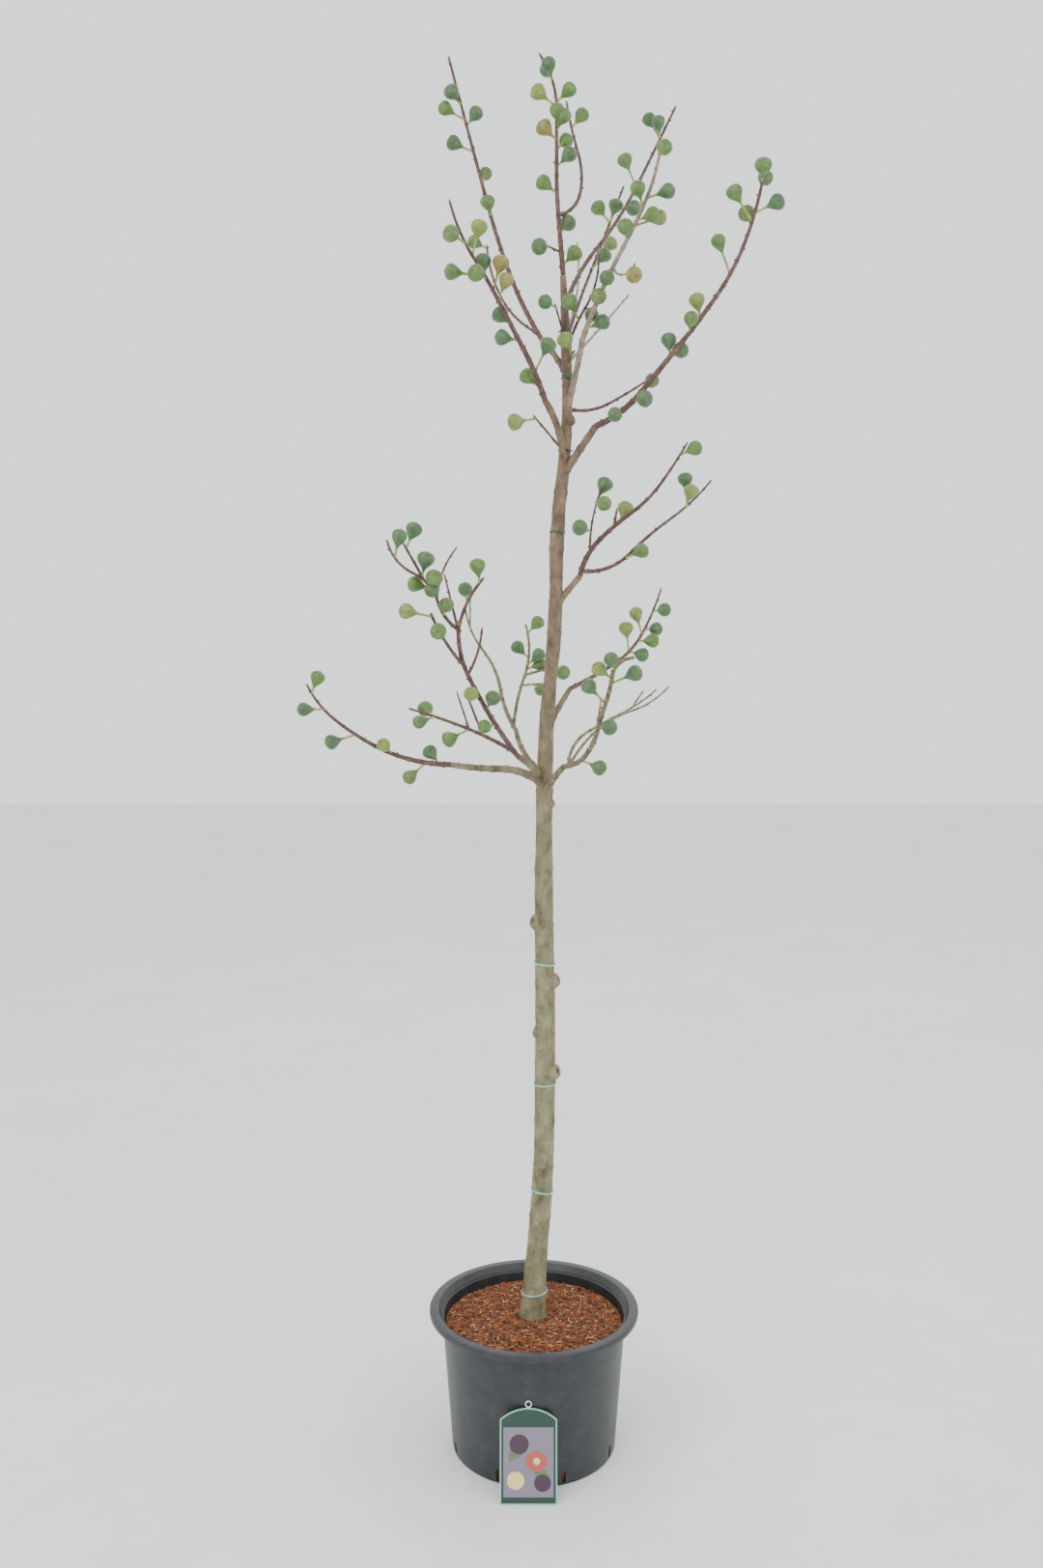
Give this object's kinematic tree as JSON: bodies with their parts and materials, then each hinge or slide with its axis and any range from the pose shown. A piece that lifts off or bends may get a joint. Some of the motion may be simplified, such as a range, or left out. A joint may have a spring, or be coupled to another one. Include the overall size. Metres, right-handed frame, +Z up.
{
  "type": "potted fig tree",
  "caption": "Young fig tree on one clean trunk, bare of leaves, with green figs along its dark shoots, in a round black nursery pot with a leaning card label.",
  "frame": {"origin": "centre of the pot's flat underside", "axes": "+Z up along the trunk, the front with the label faces -Y, +X to the right seen from the front"},
  "size_m": [0.8073, 0.5912, 2.4778],
  "materials": {
    "pot_plastic": "charcoal moulded polypropylene with a soft sheen",
    "coir_soil": "loose coir and bark fibre",
    "bark": "grey-green to olive-brown young bark",
    "shoots_and_figs": "purple-brown shoots and matt green figs",
    "label_card": "coated card",
    "label_nylon": "white nylon"
  },
  "bodies": {
    "root": {"fork_right": "shoots_and_figs", "front_left": "shoots_and_figs", "front_right": "shoots_and_figs", "high_left": "bark", "high_left_shoots": "shoots_and_figs", "high_left_thin": "shoots_and_figs", "high_right": "bark", "high_right_shoots": "shoots_and_figs", "high_right_thin": "shoots_and_figs", "label_loop": "label_nylon", "leader": "shoots_and_figs", "left_inner": "bark", "left_inner_shoots": "shoots_and_figs", "left_outer": "bark", "left_outer_shoots": "shoots_and_figs", "low_left": "bark", "low_left_shoots": "shoots_and_figs", "low_rear": "shoots_and_figs", "low_right": "bark", "low_right_shoots": "shoots_and_figs", "mid_low_right": "bark", "mid_low_right_shoots": "shoots_and_figs", "mid_right": "bark", "mid_right_shoots": "shoots_and_figs", "pale_right": "bark", "pale_right_shoots": "shoots_and_figs", "plant_label": "label_card", "pot": "pot_plastic", "potting_soil": "coir_soil", "thin_rear": "shoots_and_figs", "top_left": "bark", "top_left_shoots": "shoots_and_figs", "trunk": "bark", "upright_front": "shoots_and_figs", "upright_rear": "shoots_and_figs"}
  },
  "joints": []
}
